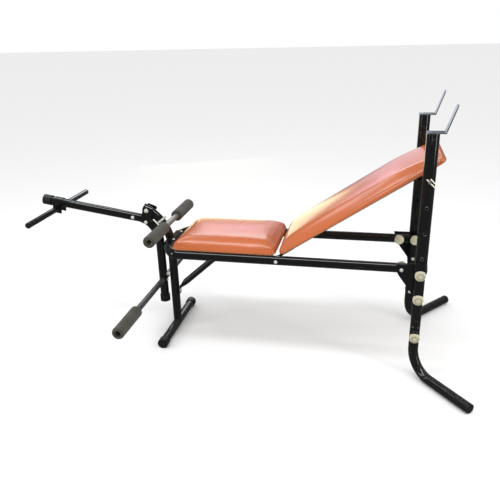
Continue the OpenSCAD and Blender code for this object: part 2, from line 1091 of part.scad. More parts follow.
module side_bolt_ring(r, outer, inner) {
    translate([0, -outer, 0])
        rotate([-90, 0, 0])
            cylinder(r = r, h = outer - inner);
}

// ---- support rod and its clip ----------------------------------------------

rod_near = upright_y + sleeve_r + 14;
rod_far = upright_y + sleeve_r + 10;
clip_y = -(upright_y + sleeve_r + 8);
clip_r = 2;
clip_turn = 44;

module support_rod() {
    color(zinc)
        place()
            translate([rod_x, 0, rod_z])
                difference() {
                    translate([0, -rod_near, 0])
                        rotate([-90, 0, 0])
                            cylinder(r = rod_r, h = rod_near + rod_far);
                    translate([0, clip_y, 0])
                        rotate([0, 90 + clip_turn, 0])
                            cylinder(r = clip_r + running, h = 4 * rod_r, center = true);
                }
}

// A wire clip: one leg through the rod, a bend that serves as an eye, one leg outside.
module rod_clip() {
    bend_r = 5;
    through = 14;
    reach = 26;
    color(zinc)
        place()
            translate([rod_x, clip_y, rod_z])
                rotate([0, clip_turn, 0]) {
                    translate([-through, 0, 0])
                        rotate([0, 90, 0])
                            cylinder(r = clip_r, h = through + reach);
                    translate([reach, 0, bend_r])
                        rotate([90, 0, 0])
                            rotate([0, 0, -90])
                                rotate_extrude(angle = 180)
                                    translate([bend_r, 0])
                                        circle(r = clip_r);
                    translate([-6, 0, 2 * bend_r])
                        rotate([0, 90, 0])
                            cylinder(r = clip_r, h = reach + 6);
                }
}

// ---- lever -----------------------------------------------------------------

lever_low = lever_clear + 6;
lower_bar_x = lever_x;

module lever_tube() {
    color(black)
        place()
            difference() {
                union() {
                    translate([lever_x, 0, lever_low])
                        tube_z(tube_r, lever_bend_z - lever_low, tube_wall);
                    translate([lever_x, 0, lever_bend_z])
                        bend_up(lever_bend_r, lever_bend_angle, tube_r, tube_wall);
                }
                translate([lower_bar_x, 0, lower_bar_height])
                    bar_y(foam_bar_d / 2, 2 * tube_d);
                translate([lever_x, 0, lower_bar_height])
                    rotate([0, 90, 0])
                        cylinder(r = 3.2, h = tube_d);
                translate([lever_bolt_x, 0, lever_bolt_z])
                    bar_y(bolt_r + bolt_gap, 2 * tube_d);
            }
}

module lever_end_cap() {
    color(black)
        place()
            translate([lever_x, 0, lever_low])
                rotate([180, 0, 0])
                    sleeve_cap(cap_grow, 24, lever_low - lever_clear);
}

// The bracket plates hang from the pivot, leaning back by plate_lean.
plate_lean = 20.7;
plate_w = 45;
plate_h = 80;
plate_pivot = [15.6, 60.4];
lever_bolt_angle = 53;
lever_bolt_x = lever_x - lever_bend_r * (1 - cos(lever_bolt_angle));
lever_bolt_z = lever_bend_z + lever_bend_r * sin(lever_bolt_angle);

module bracket_plate(far) {
    on_side(far)
        difference() {
            translate([pivot_x, 0, pivot_z])
                plate_xz(-bracket_y - bracket_t, bracket_t)
                    rotate(-plate_lean)
                        translate(-plate_pivot)
                            rounded(plate_w, plate_h, 7);
            translate([pivot_x, 0, pivot_z])
                bar_y(pivot_r + 0.02, 4 * tube_d);
            translate([lever_bolt_x, 0, lever_bolt_z])
                bar_y(bolt_r + bolt_gap, 4 * tube_d);
        }
}

module bracket_plate_near() {
    color(black)
        place()
            bracket_plate(false);
}

module bracket_plate_far() {
    color(black)
        place()
            bracket_plate(true);
}

// A bolt through both bracket plates with a dome on the near side and a nut on the far.
module bracket_bolt(x, z, r, head_r, head_h) {
    face = bracket_y + bracket_t;
    translate([x, 0, z]) {
        bar_y(r, 2 * face + 2 * eps);
        translate([0, -face, 0])
            rotate([90, 0, 0])
                dome(head_r, head_h);
        translate([0, face, 0])
            rotate([-90, 0, 0])
                cylinder(r = head_r, h = head_h + 1, $fn = 6);
    }
}

module pivot_bolt() {
    color(cream)
        place()
            bracket_bolt(pivot_x, pivot_z, pivot_r, 10, 6);
}

// A frame along the weight arm: +Z out along the arm from the joint, +X upwards.
module on_arm(from) {
    place()
        translate([joint_x, 0, joint_z])
            rotate([0, arm_angle - 90, 0])
                translate([0, 0, from])
                    children();
}

// The lever's upper end: +Z out along the lever, the joint's plane at Z 0.
module at_joint() {
    translate([joint_x, 0, joint_z])
        rotate([0, -lever_bend_angle, 0])
            children();
}

spigot_over = 45;
end_disc_t = 3;
arm_bolt_from = arm_start + 28;

// A stub on the lever's end, with a spigot that the weight arm slides on.
module arm_spigot() {
    color(black) {
        place()
            at_joint()
                translate([0, 0, -lever_straight])
                    cylinder(r = tube_r, h = lever_straight + end_disc_t);
        difference() {
            on_arm(-tube_r)
                cylinder(r = tube_r - tube_wall - 0.2, h = tube_r + arm_start + spigot_over);
            place()
                at_joint()
                    translate([-2 * tube_d, -tube_d, -2 * tube_d])
                        cube([4 * tube_d, 2 * tube_d, 2 * tube_d + end_disc_t]);
            on_arm(arm_bolt_from)
                bar_y(4.2, 2 * tube_d);
        }
    }
}

weight_bar_from = arm_start + arm_len - weight_bar_back;
weight_bar_down = tube_r + weight_bar_d / 2 - weight_bar_bite;

module weight_arm() {
    color(black)
        on_arm(arm_start)
            difference() {
                tube_z(tube_r, arm_len, tube_wall);
                translate([0, 0, arm_bolt_from - arm_start])
                    bar_y(4.2, 2 * tube_d);
                translate([-weight_bar_down, 0, weight_bar_from - arm_start])
                    bar_y(weight_bar_d / 2, 2 * tube_d);
            }
}

module weight_arm_cap() {
    color(black)
        on_arm(arm_start + arm_len)
            sleeve_cap(cap_grow, 26, arm_plug);
}

module arm_bolts() {
    color(zinc)
        on_arm(arm_bolt_from) {
            bar_y(4, 2 * tube_r + 2);
            for (side = [-1, 1])
                translate([0, side * tube_r, 0])
                    rotate([side * -90, 0, 0])
                        saddle_head(8, 4.5, tube_r, false);
        }
    color(zinc)
        place()
            bracket_bolt(lever_bolt_x, lever_bolt_z, bolt_r, 8, 5);
}

// The bar with two collars beside the strap that the plates rest against.
module weight_bar() {
    color(black)
        on_arm(weight_bar_from)
            translate([-weight_bar_down, 0, 0])
                difference() {
                    union() {
                        bar_y(weight_bar_d / 2, weight_bar_len);
                        for (side = [-1, 1])
                            translate([0, side * (tube_r + strap_t + collar_t / 2), 0])
                                bar_y(weight_bar_d / 2 + 2.5, collar_t);
                    }
                    bar_y(weight_bar_d / 2 - 3, weight_bar_len + 1);
                }
}

collar_t = 4;

module weight_bar_plugs() {
    color(black)
        on_arm(weight_bar_from)
            for (side = [-1, 1])
                translate([-weight_bar_down, side * weight_bar_len / 2, 0])
                    rotate([side * -90, 0, 0]) {
                        cylinder(r = weight_bar_d / 2 - 0.2, h = 5);
                        translate([0, 0, -14])
                            cylinder(r = weight_bar_d / 2 - 3.1, h = 14);
                    }
}

strap_t = 2.5;
strap_w = 42;

// A strap bent over the arm whose two sides hang down and hold the weight bar.
module weight_bar_strap() {
    color(black)
        on_arm(weight_bar_from - strap_w / 2)
            difference() {
                union() {
                    cylinder(r = tube_r + strap_t, h = strap_w);
                    translate([-weight_bar_down - 20, -tube_r - strap_t, 0])
                        cube([weight_bar_down + 20, tube_d + 2 * strap_t, strap_w]);
                }
                translate([0, 0, -1])
                    cylinder(r = tube_r, h = strap_w + 2);
                translate([-weight_bar_down - 21, -tube_r, -1])
                    cube([weight_bar_down + 21, tube_d, strap_w + 2]);
                translate([-weight_bar_down, 0, strap_w / 2])
                    bar_y(weight_bar_d / 2, 2 * tube_d);
            }
}

module lower_foam_bar() {
    color("#5c5c5a")
        place()
            difference() {
                foam_bar(lower_bar_x, lower_bar_height, lower_bar_len);
                translate([lever_x, 0, lower_bar_height])
                    rotate([0, 90, 0])
                        cylinder(r = 3.2, h = tube_d);
            }
}

module lower_bar_bolt() {
    color(zinc)
        place()
            translate([lever_x, 0, lower_bar_height])
                rotate([0, 90, 0]) {
                    translate([0, 0, foam_bar_d / 2 - 4])
                        cylinder(r = 3, h = tube_r - foam_bar_d / 2 + 4 + eps);
                    translate([0, 0, tube_r])
                        saddle_head(6.5, 4, tube_r, true);
                }
}

// ---- rollers ---------------------------------------------------------------

roller_round = 7;
roller_past = 8;                // the foam stands this far past the end of its bar

// A foam roller along +Z with rounded ends and a through bore.
module roller() {
    bore = foam_bar_d / 2 + foam_bore_gap;
    r = foam_d / 2;
    rotate_extrude()
        polygon(concat([[bore, 0]],
            [for (a = [-90:22.5:0])
                [r - roller_round + roller_round * cos(a),
                    roller_round + roller_round * sin(a)]],
            [for (a = [0:22.5:90])
                [r - roller_round + roller_round * cos(a),
                    foam_len - roller_round + roller_round * sin(a)]],
            [[bore, foam_len]]));
}

module roller_at(x, z, bar_len, far) {
    color(foam_grey)
        place()
            on_side(far)
                translate([x, -bar_len / 2 - roller_past, z])
                    rotate([-90, 0, 0])
                        roller();
}

module upper_roller_near() {
    roller_at(upper_bar_x, upper_bar_z, upper_bar_len, false);
}

module upper_roller_far() {
    roller_at(upper_bar_x, upper_bar_z, upper_bar_len, true);
}

module lower_roller_near() {
    roller_at(lower_bar_x, lower_bar_height, lower_bar_len, false);
}

module lower_roller_far() {
    roller_at(lower_bar_x, lower_bar_height, lower_bar_len, true);
}

front_leg();
front_foot();
front_foot_caps();
rail_near();
rail_far();
rail_end_plugs();
tie_plate();
tie_plate_screws();
seat_crossbar_front();
seat_crossbar_rear();
leg_brace();
brace_bolts();
seat_board();
seat_pad();
seat_screws();
gusset_near();
gusset_far();
lower_upright_near();
lower_upright_far();
rear_foot_caps();
upper_upright_near();
upper_upright_far();
frame_bolts();
bolt_caps();
bar_catch_near();
bar_catch_far();
catch_screws();
upper_foam_bar();
foam_bar_saddle();
gooseneck_band();
hinge_bolts();
rest_stop();
pivot_bush();
backrest_board();
backrest_pad();
backrest_arm_near();
backrest_arm_far();
backrest_screws();
support_rod();
rod_clip();
lever_tube();
lever_end_cap();
bracket_plate_near();
bracket_plate_far();
pivot_bolt();
arm_spigot();
weight_arm();
weight_arm_cap();
arm_bolts();
weight_bar();
weight_bar_plugs();
weight_bar_strap();
lower_foam_bar();
lower_bar_bolt();
upper_roller_near();
upper_roller_far();
lower_roller_near();
lower_roller_far();
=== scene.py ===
# %% [markdown]
# # An adjustable weight bench
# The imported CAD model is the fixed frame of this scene: steel tubes, brackets, bolts, caps
# and bars. Everything soft is made here around it, and every surface gets its finish here.
# Each step has a short note first, then a short piece of code.

# %% Load the frame
import json
import math

import bmesh
import bpy
from mathutils import Matrix, Vector


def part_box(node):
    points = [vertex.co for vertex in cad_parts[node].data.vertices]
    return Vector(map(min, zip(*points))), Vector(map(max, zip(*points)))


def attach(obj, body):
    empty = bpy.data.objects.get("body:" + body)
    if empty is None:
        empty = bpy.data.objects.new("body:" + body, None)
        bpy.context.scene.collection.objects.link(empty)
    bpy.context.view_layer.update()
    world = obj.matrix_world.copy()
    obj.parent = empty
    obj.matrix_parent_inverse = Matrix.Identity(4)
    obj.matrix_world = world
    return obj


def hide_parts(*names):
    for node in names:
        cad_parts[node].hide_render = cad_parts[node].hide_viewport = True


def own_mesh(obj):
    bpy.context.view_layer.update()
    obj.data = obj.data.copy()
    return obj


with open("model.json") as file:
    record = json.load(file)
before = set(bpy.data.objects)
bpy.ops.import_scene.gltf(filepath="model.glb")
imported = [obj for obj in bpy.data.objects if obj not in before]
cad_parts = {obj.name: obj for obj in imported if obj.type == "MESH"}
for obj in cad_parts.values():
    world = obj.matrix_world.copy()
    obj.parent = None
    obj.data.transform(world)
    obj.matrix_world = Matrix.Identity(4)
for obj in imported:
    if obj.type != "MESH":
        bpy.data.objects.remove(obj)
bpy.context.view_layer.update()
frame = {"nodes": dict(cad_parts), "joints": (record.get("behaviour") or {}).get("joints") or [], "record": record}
nodes = frame["nodes"]
joints = {joint["name"]: joint for joint in frame["joints"]}

# %% [markdown]
# ## The camera
# A buyer's view of a bench is from its near side, a little above the pads. The camera is
# placed in the bench's own frame, so it stands where a person holding it at chest height
# would. Its three angles are turned into a matrix by hand, because a small roll on top of
# a heading and a pitch is easier to read that way than as one set of Euler angles.

# %% Camera
CAMERA_PLACE = Vector((0.5284, -2.1985, 1.3151))
HEADING, PITCH, ROLL = (math.radians(a) for a in (12.871, 22.023, -1.669))

forward = Vector((-math.sin(HEADING) * math.cos(PITCH), math.cos(HEADING) * math.cos(PITCH),
                  -math.sin(PITCH)))
level_right = Vector((math.cos(HEADING), math.sin(HEADING), 0))
level_up = level_right.cross(forward)
right = math.cos(ROLL) * level_right + math.sin(ROLL) * level_up
up = -math.sin(ROLL) * level_right + math.cos(ROLL) * level_up

camera_data = bpy.data.cameras.new("bench_camera")
camera_data.lens = 40.49
camera_data.sensor_width = 36
camera = bpy.data.objects.new("bench_camera", camera_data)
turned = Matrix((right, up, -forward)).transposed().to_4x4()
camera.matrix_world = Matrix.Translation(CAMERA_PLACE) @ turned
bpy.context.scene.collection.objects.link(camera)
bpy.context.scene.camera = camera

# %% [markdown]
# ## Floor and light
# A plain pale floor and a pale surround keep the eye on the bench. Gloss paint and vinyl show
# what they reflect, so what matters is where the pale panels stand. The room lights the
# bench and the floor evenly and white, but gloss sees a dimmer room, which keeps black
# paint black. One long panel hangs over the bench and two tall narrow ones stand at its
# ends, and they draw a thin line of light along each tube. Tinted panels stand behind it,
# where the tops of the pads mirror them. The plain "Standard" view keeps the blacks deep
# and the orange strong.

# %% Floor and lights
def link(name, mesh):
    """Makes an object of a mesh and puts it in the scene."""
    made = bpy.data.objects.new(name, mesh)
    bpy.context.scene.collection.objects.link(made)
    return made


def from_bmesh(name, bm):
    """Closes a bmesh into a new object."""
    mesh = bpy.data.meshes.new(name)
    bm.to_mesh(mesh)
    bm.free()
    return link(name, mesh)


bpy.context.scene.view_settings.view_transform = "Standard"

FLOOR_HALF_SIZE = 30
floor_bm = bmesh.new()
bmesh.ops.create_grid(floor_bm, x_segments=1, y_segments=1, size=FLOOR_HALF_SIZE)
floor = from_bmesh("studio_floor", floor_bm)
floor_paint = bpy.data.materials.new("studio_floor")
floor_paint.use_nodes = True
floor_shader = floor_paint.node_tree.nodes["Principled BSDF"]
floor_shader.inputs["Base Color"].default_value = (0.88, 0.88, 0.88, 1)
floor_shader.inputs["Roughness"].default_value = 0.9
floor_shader.inputs["Specular IOR Level"].default_value = 0.1
floor.data.materials.append(floor_paint)
floor.visible_glossy = False

ROOM_LIGHT = 1.0
ROOM_IN_GLOSS = 0.14
world = bpy.data.worlds.new("studio")
bpy.context.scene.world = world
world.use_nodes = True
surround = world.node_tree.nodes["Background"]
surround.inputs["Color"].default_value = (1, 1, 1, 1)
ray = world.node_tree.nodes.new("ShaderNodeLightPath")
level = world.node_tree.nodes.new("ShaderNodeMapRange")
level.inputs["To Min"].default_value = ROOM_LIGHT
level.inputs["To Max"].default_value = ROOM_IN_GLOSS
world.node_tree.links.new(ray.outputs["Is Glossy Ray"], level.inputs["Value"])
world.node_tree.links.new(level.outputs["Result"], surround.inputs["Strength"])


def soft_panel(name, place, target, size, brightness, tint=(1, 1, 1)):
    """A rectangular light that faces a point; brightness is what a mirror would show."""
    data = bpy.data.lights.new(name, "AREA")
    data.shape = "RECTANGLE"
    data.size, data.size_y = size
    data.energy = brightness * math.pi * size[0] * size[1]
    data.color = tint
    panel = bpy.data.objects.new(name, data)
    panel.matrix_world = (Matrix.Translation(place)
                          @ (Vector(target) - Vector(place)).to_track_quat("-Z", "Y")
                          .to_matrix().to_4x4())
    panel.visible_camera = False
    bpy.context.scene.collection.objects.link(panel)
    return panel


soft_panel("light_over", (0.1, -0.7, 2.9), (0.1, 0, 0.4), (3.4, 0.5), 7.0, (0.97, 0.98, 1))
soft_panel("light_foot_end", (-2.8, -1.6, 1.3), (0, 0, 0.5), (0.35, 2.2), 6.0)
soft_panel("light_head_end", (3.0, -1.4, 1.3), (0.5, 0, 0.5), (0.3, 2.2), 7.0, (1, 0.97, 0.92))
for tinted in (
        soft_panel("light_over_seat", (-0.9, 3.3, 1.85), (-0.05, 0, 0.5), (1.0, 0.6), 2.3,
                   (0.98, 0.72, 0.95)),
        soft_panel("light_far_back", (-0.9, 4.6, 3.4), (-0.05, 0, 0.5), (2.6, 0.8), 4.5,
                   (0.8, 0.93, 1)),
        soft_panel("light_low_behind", (-1.15, 3.3, 0.45), (0.25, 0, 0.55), (1.4, 1.2), 2.5,
                   (0.98, 0.97, 0.68)),
        soft_panel("light_high_behind", (0.3, 3.3, 1.3), (0.6, 0, 0.8), (1.4, 1.2), 1.1,
                   (0.86, 0.76, 0.92)),
        soft_panel("light_ridge", (-1.5, 0.9, 2.75), (0.45, 0, 0.7), (1.6, 0.6), 4.0,
                   (0.82, 0.92, 1))):
    tinted.visible_diffuse = False

# %% [markdown]
# ## Helpers for materials
# Every finish here is a Principled shader fed by small patterns. The helpers make a ramp, a
# mix, a sum and a noise, and start a node group whose inputs and outputs have plain names,
# so that one pattern can serve several finishes with different values.

# %% Material helpers
def ramp(tree, factor, *stops):
    """A colour ramp from (position, grey or colour) stops."""
    made = tree.nodes.new("ShaderNodeValToRGB")
    elements = made.color_ramp.elements
    while len(elements) < len(stops):
        elements.new(0.5)
    for element, (position, shade) in zip(elements, stops):
        element.position = position
        element.color = (shade, shade, shade, 1) if isinstance(shade, float) else shade
    tree.links.new(factor, made.inputs["Fac"])
    return made.outputs["Color"]


def mix_colour(tree, factor, first, second):
    """Mixes two colours or colour sockets."""
    made = tree.nodes.new("ShaderNodeMix")
    made.data_type = "RGBA"
    for socket, value in (("Factor", factor), ("A", first), ("B", second)):
        entry = [i for i in made.inputs
                 if i.name == socket and i.type in ("RGBA", "VALUE") and i.enabled][0]
        if isinstance(value, bpy.types.NodeSocket):
            tree.links.new(value, entry)
        else:
            entry.default_value = value
    return [o for o in made.outputs if o.type == "RGBA" and o.enabled][0]


def maths(tree, operation, first, second=0.0):
    """One Math node between sockets or numbers."""
    made = tree.nodes.new("ShaderNodeMath")
    made.operation = operation
    for index, value in enumerate((first, second)):
        if isinstance(value, bpy.types.NodeSocket):
            tree.links.new(value, made.inputs[index])
        else:
            made.inputs[index].default_value = value
    return made.outputs[0]


def pattern(name, inputs, outputs):
    """Starts a node group with named sockets and returns (tree, group input, group output)."""
    tree = bpy.data.node_groups.new(name, "ShaderNodeTree")
    kinds = {"colour": "NodeSocketColor", "value": "NodeSocketFloat"}
    for direction, sockets in (("INPUT", inputs), ("OUTPUT", outputs)):
        for label, kind in sockets:
            tree.interface.new_socket(name=label, in_out=direction, socket_type=kinds[kind])
    return tree, tree.nodes.new("NodeGroupInput"), tree.nodes.new("NodeGroupOutput")


def object_noise(tree, scale, stretch=(1, 1, 1), detail=3.0, turn=(0, 0, 0)):
    """Noise on Object coordinates, stretched along the axes by a Mapping node."""
    place = tree.nodes.new("ShaderNodeTexCoord")
    mapping = tree.nodes.new("ShaderNodeMapping")
    mapping.inputs["Scale"].default_value = stretch
    mapping.inputs["Rotation"].default_value = turn
    noise = tree.nodes.new("ShaderNodeTexNoise")
    noise.inputs["Detail"].default_value = detail
    if isinstance(scale, bpy.types.NodeSocket):
        tree.links.new(scale, noise.inputs["Scale"])
    else:
        noise.inputs["Scale"].default_value = scale
    tree.links.new(place.outputs["Object"], mapping.inputs["Vector"])
    tree.links.new(mapping.outputs["Vector"], noise.inputs["Vector"])
    return noise.outputs["Fac"]


# %% [markdown]
# ## Wear that several finishes share
# Old gym steel is never one even black. Hands and shoes polish it, dust settles on what
# faces up, and the feet get scraped. One group makes all three as masks: broad smudges
# that change the roughness, fine scratches that show a paler colour, and dust where the
# surface faces up. Each finish says how much of each it wants.

# %% Wear group
wear, wear_in, wear_out = pattern(
    "metal_wear",
    [("Paint", "colour"), ("Bare", "colour"), ("Scratches", "value"), ("Dust", "value"),
     ("Shine", "value")],
    [("Colour", "colour"), ("Roughness", "value"), ("Height", "value")])

smudge = ramp(wear, object_noise(wear, 9.0, detail=5.0), (0.35, 0.0), (0.7, 1.0))
along = ramp(wear, object_noise(wear, 14.0, (0.5, 9, 9), 6.0, (0.2, 0.1, 0.4)),
             (0.66, 0.0), (0.72, 1.0))
across = ramp(wear, object_noise(wear, 18.0, (8, 8, 0.6), 6.0, (0.5, -0.3, 0.1)),
              (0.68, 0.0), (0.74, 1.0))
patches = ramp(wear, object_noise(wear, 3.5, detail=2.0), (0.5, 0.0), (0.72, 1.0))
scratched = maths(wear, "MULTIPLY", maths(wear, "MAXIMUM", along, across), patches)
scratched = maths(wear, "MULTIPLY", scratched, wear_in.outputs["Scratches"])

facing = wear.nodes.new("ShaderNodeNewGeometry")
split = wear.nodes.new("ShaderNodeSeparateXYZ")
wear.links.new(facing.outputs["Normal"], split.inputs[0])
looks_up = ramp(wear, split.outputs["Z"], (0.55, 0.0), (1.0, 1.0))
specks = ramp(wear, object_noise(wear, 160.0, detail=4.0), (0.42, 0.0), (0.75, 1.0))
dusty = maths(wear, "MULTIPLY", maths(wear, "MULTIPLY", looks_up, specks),
              wear_in.outputs["Dust"])

scraped_colour = mix_colour(wear, scratched, wear_in.outputs["Paint"], wear_in.outputs["Bare"])
wear.links.new(mix_colour(wear, dusty, scraped_colour, (0.42, 0.4, 0.37, 1)),
               wear_out.inputs["Colour"])
rough = maths(wear, "ADD", wear_in.outputs["Shine"], maths(wear, "MULTIPLY", smudge, 0.12))
rough = maths(wear, "ADD", rough, maths(wear, "MULTIPLY", scratched, 0.3))
wear.links.new(maths(wear, "ADD", rough, maths(wear, "MULTIPLY", dusty, 0.4)),
               wear_out.inputs["Roughness"])
peel = object_noise(wear, 260.0, detail=1.0)
wear.links.new(maths(wear, "SUBTRACT", peel, maths(wear, "MULTIPLY", scratched, 0.8)),
               wear_out.inputs["Height"])


def finish_with(name, group, values, bump, distance, **shader_values):
    """A Principled material whose colour, roughness and bump come from a group."""
    material = bpy.data.materials.new(name)
    material.use_nodes = True
    tree = material.node_tree
    shader = tree.nodes["Principled BSDF"]
    for label, value in shader_values.items():
        shader.inputs[label.replace("_", " ")].default_value = value
    placed = tree.nodes.new("ShaderNodeGroup")
    placed.node_tree = group
    for label, value in values.items():
        placed.inputs[label].default_value = value
    relief = tree.nodes.new("ShaderNodeBump")
    relief.inputs["Strength"].default_value = bump
    relief.inputs["Distance"].default_value = distance
    tree.links.new(placed.outputs["Colour"], shader.inputs["Base Color"])
    tree.links.new(placed.outputs["Roughness"], shader.inputs["Roughness"])
    tree.links.new(placed.outputs["Height"], relief.inputs["Height"])
    tree.links.new(relief.outputs["Normal"], shader.inputs["Normal"])
    return material


# %% [markdown]
# ## Paint, plastic and steel
# The tubes are gloss black powder coat with a faint orange peel. The moulded caps are the
# same black but duller. The big bolt covers are cream plastic, yellowed a little. The
# catches are blue-white zinc, and the small bolts are plainer zinc. The upper roller bar
# is bare drawn steel; the lower one is darker.

# %% Hard finishes
BARE_STEEL = (0.45, 0.44, 0.42, 1)


def worn(name, paint, scratches, dust, shine, bump=0.05, distance=0.0004, bare=BARE_STEEL,
         **shader_values):
    """A hard finish that uses the shared wear group."""
    return finish_with(name, wear, {"Paint": paint, "Bare": bare, "Scratches": scratches,
                                    "Dust": dust, "Shine": shine},
                       bump, distance, **shader_values)


gloss_black = worn("gloss_black_tube", (0.003, 0.003, 0.0035, 1), 0.3, 0.07, 0.06,
                   Specular_IOR_Level=0.5, Coat_Weight=0.5, Coat_Roughness=0.08)
scuffed_black = worn("scuffed_black_foot", (0.004, 0.004, 0.0045, 1), 1.0, 0.15, 0.1,
                     Specular_IOR_Level=0.5, Coat_Weight=0.4, Coat_Roughness=0.1)
cap_black = worn("moulded_black_cap", (0.008, 0.008, 0.0085, 1), 0.25, 0.2, 0.3, 0.12,
                 bare=(0.1, 0.1, 0.1, 1))
cream_cover = worn("cream_bolt_cover", (0.5, 0.47, 0.34, 1), 0.6, 0.25, 0.28, 0.06,
                   bare=(0.22, 0.19, 0.12, 1))
zinc_bolt = worn("zinc_bolt", (0.66, 0.65, 0.58, 1), 0.5, 0.1, 0.25, 0.1, Metallic=0.35,
                 bare=(0.3, 0.28, 0.25, 1))
zinc_plate = worn("blue_zinc_plate", (0.32, 0.4, 0.44, 1), 0.9, 0.05, 0.2, 0.08,
                  Metallic=0.85, bare=(0.42, 0.26, 0.18, 1))
black_bolt = worn("black_oxide_bolt", (0.02, 0.02, 0.02, 1), 0.3, 0.15, 0.32, 0.1)
bare_bar = worn("bare_steel_bar", (0.3, 0.285, 0.25, 1), 0.8, 0.05, 0.25, 0.1, Metallic=0.55,
                bare=(0.2, 0.17, 0.14, 1))
dark_bar = worn("dark_steel_bar", (0.05, 0.05, 0.05, 1), 0.7, 0.1, 0.22, 0.1,
                Coat_Weight=0.3, Coat_Roughness=0.1)

finishes = {
    "frame_paint": gloss_black, "black_plastic": cap_black, "cream_plastic": cream_cover,
    "zinc_bolts": zinc_bolt, "black_bolts": black_bolt, "zinc_plate": zinc_plate,
    "bare_steel": bare_bar, "dark_steel": dark_bar}


def dress(material, *names):
    """Puts one finish on whole CAD nodes."""
    for name in names:
        for slot in nodes[name].material_slots:
            slot.material = material


slot_of = {part["node"]: part["material_slot"] for part in frame["record"]["subparts"]}
for node in nodes:
    if slot_of[node] in finishes:
        dress(finishes[slot_of[node]], node)
clip_wire = worn("clip_wire", (0.78, 0.76, 0.66, 1), 0.4, 0.05, 0.2, 0.1,
                 bare=(0.4, 0.37, 0.3, 1))
dress(clip_wire, "rod_clip")
dress(scuffed_black, "lower_upright_near", "lower_upright_far", "front_foot")
print("finished", sum(slot_of[n] in finishes for n in nodes), "hard nodes")

# %% [markdown]
# ## Vinyl and foam
# The pads wear smooth upholstery vinyl: a reddish tan with a clear gloss that gathers broad
# pale reflections, a very fine pebble, and a tone that drifts a little over the pad. The
# rollers are closed-cell foam, an olive grey with open pores and no gloss.

# %% Soft finishes
skin, skin_in, skin_out = pattern(
    "vinyl_skin",
    [("Tone", "colour"), ("Deep", "colour"), ("Shine", "value"), ("Pebble", "value")],
    [("Colour", "colour"), ("Roughness", "value"), ("Height", "value")])
drift = ramp(skin, object_noise(skin, 5.0, detail=3.0), (0.3, 0.0), (0.75, 1.0))
creases = ramp(skin, object_noise(skin, 42.0, (1, 1.6, 1), 5.0), (0.45, 0.0), (0.8, 1.0))
deepness = maths(skin, "MULTIPLY", drift, maths(skin, "ADD", creases, 0.5))
skin.links.new(mix_colour(skin, deepness, skin_in.outputs["Tone"], skin_in.outputs["Deep"]),
               skin_out.inputs["Colour"])
skin.links.new(maths(skin, "ADD", skin_in.outputs["Shine"],
                     maths(skin, "MULTIPLY", drift, 0.1)),
               skin_out.inputs["Roughness"])
pebble_place = skin.nodes.new("ShaderNodeTexCoord")
pebbles = skin.nodes.new("ShaderNodeTexVoronoi")
skin.links.new(pebble_place.outputs["Object"], pebbles.inputs["Vector"])
skin.links.new(skin_in.outputs["Pebble"], pebbles.inputs["Scale"])
skin.links.new(maths(skin, "ADD", pebbles.outputs["Distance"],
                     maths(skin, "MULTIPLY", creases, 0.6)),
               skin_out.inputs["Height"])

pores, pores_in, pores_out = pattern(
    "foam_pores",
    [("Tone", "colour"), ("Pale", "colour"), ("Pore_size", "value")],
    [("Colour", "colour"), ("Roughness", "value"), ("Height", "value")])
fine_pores = object_noise(pores, pores_in.outputs["Pore_size"], detail=4.0)
rubbed = ramp(pores, object_noise(pores, 22.0, detail=4.0), (0.42, 0.0), (0.7, 1.0))
speckle = ramp(pores, fine_pores, (0.4, 0.0), (0.62, 1.0))
pores.links.new(mix_colour(pores, maths(pores, "MULTIPLY", rubbed, speckle),
                           pores_in.outputs["Tone"], pores_in.outputs["Pale"]),
                pores_out.inputs["Colour"])
pores.links.new(maths(pores, "SUBTRACT", 0.92, maths(pores, "MULTIPLY", rubbed, 0.18)),
                pores_out.inputs["Roughness"])
pores.links.new(fine_pores, pores_out.inputs["Height"])

grain, grain_in, grain_out = pattern(
    "chip_board",
    [("Tone", "colour"), ("Flake", "colour")],
    [("Colour", "colour"), ("Roughness", "value"), ("Height", "value")])
flakes = ramp(grain, object_noise(grain, 120.0, (1, 2.4, 1), 5.0), (0.4, 0.0), (0.65, 1.0))
grain.links.new(mix_colour(grain, flakes, grain_in.outputs["Tone"], grain_in.outputs["Flake"]),
                grain_out.inputs["Colour"])
grain.links.new(maths(grain, "ADD", 0.7, maths(grain, "MULTIPLY", flakes, 0.15)),
                grain_out.inputs["Roughness"])
grain.links.new(flakes, grain_out.inputs["Height"])

vinyl = finish_with("tan_vinyl", skin,
                    {"Tone": (0.5, 0.125, 0.036, 1), "Deep": (0.4, 0.092, 0.026, 1),
                     "Shine": 0.26, "Pebble": 900.0},
                    0.04, 0.0003, Coat_Weight=0.45, Coat_Roughness=0.16)
# The hem is the pads' vinyl made darker: painted shade for the underside of the pads.
hem_vinyl_painted_shade = finish_with("folded_vinyl", skin,
                        {"Tone": (0.3, 0.08, 0.03, 1), "Deep": (0.16, 0.045, 0.02, 1),
                         "Shine": 0.45, "Pebble": 500.0}, 0.3, 0.0008)
foam = finish_with("olive_foam", pores,
                   {"Tone": (0.032, 0.03, 0.019, 1), "Pale": (0.068, 0.063, 0.044, 1),
                    "Pore_size": 900.0}, 0.5, 0.0008, Sheen_Weight=0.15,
                   Sheen_Roughness=0.6)
board_face = finish_with("chip_board", grain,
                         {"Tone": (0.33, 0.22, 0.12, 1), "Flake": (0.5, 0.36, 0.2, 1)},
                         0.2, 0.0006)
dress(board_face, "seat_board", "backrest_board")

# %% [markdown]
# ## Pads
# A bench pad is a slab of foam on a board, under vinyl pulled tight and stapled beneath.
# The air in the foam crowns the top, rounds the edges and puffs the corners. A bevelled
# block can't do that by itself, so each pad starts as a slightly small block, is remeshed
# into even squares, and is blown up as cloth with its bottom edge held, as the staples
# hold it. Both pads are made flat and then turned, so the code needs no tilted coordinates.
# The first cell finds the space that each pad and board takes in that flat frame.

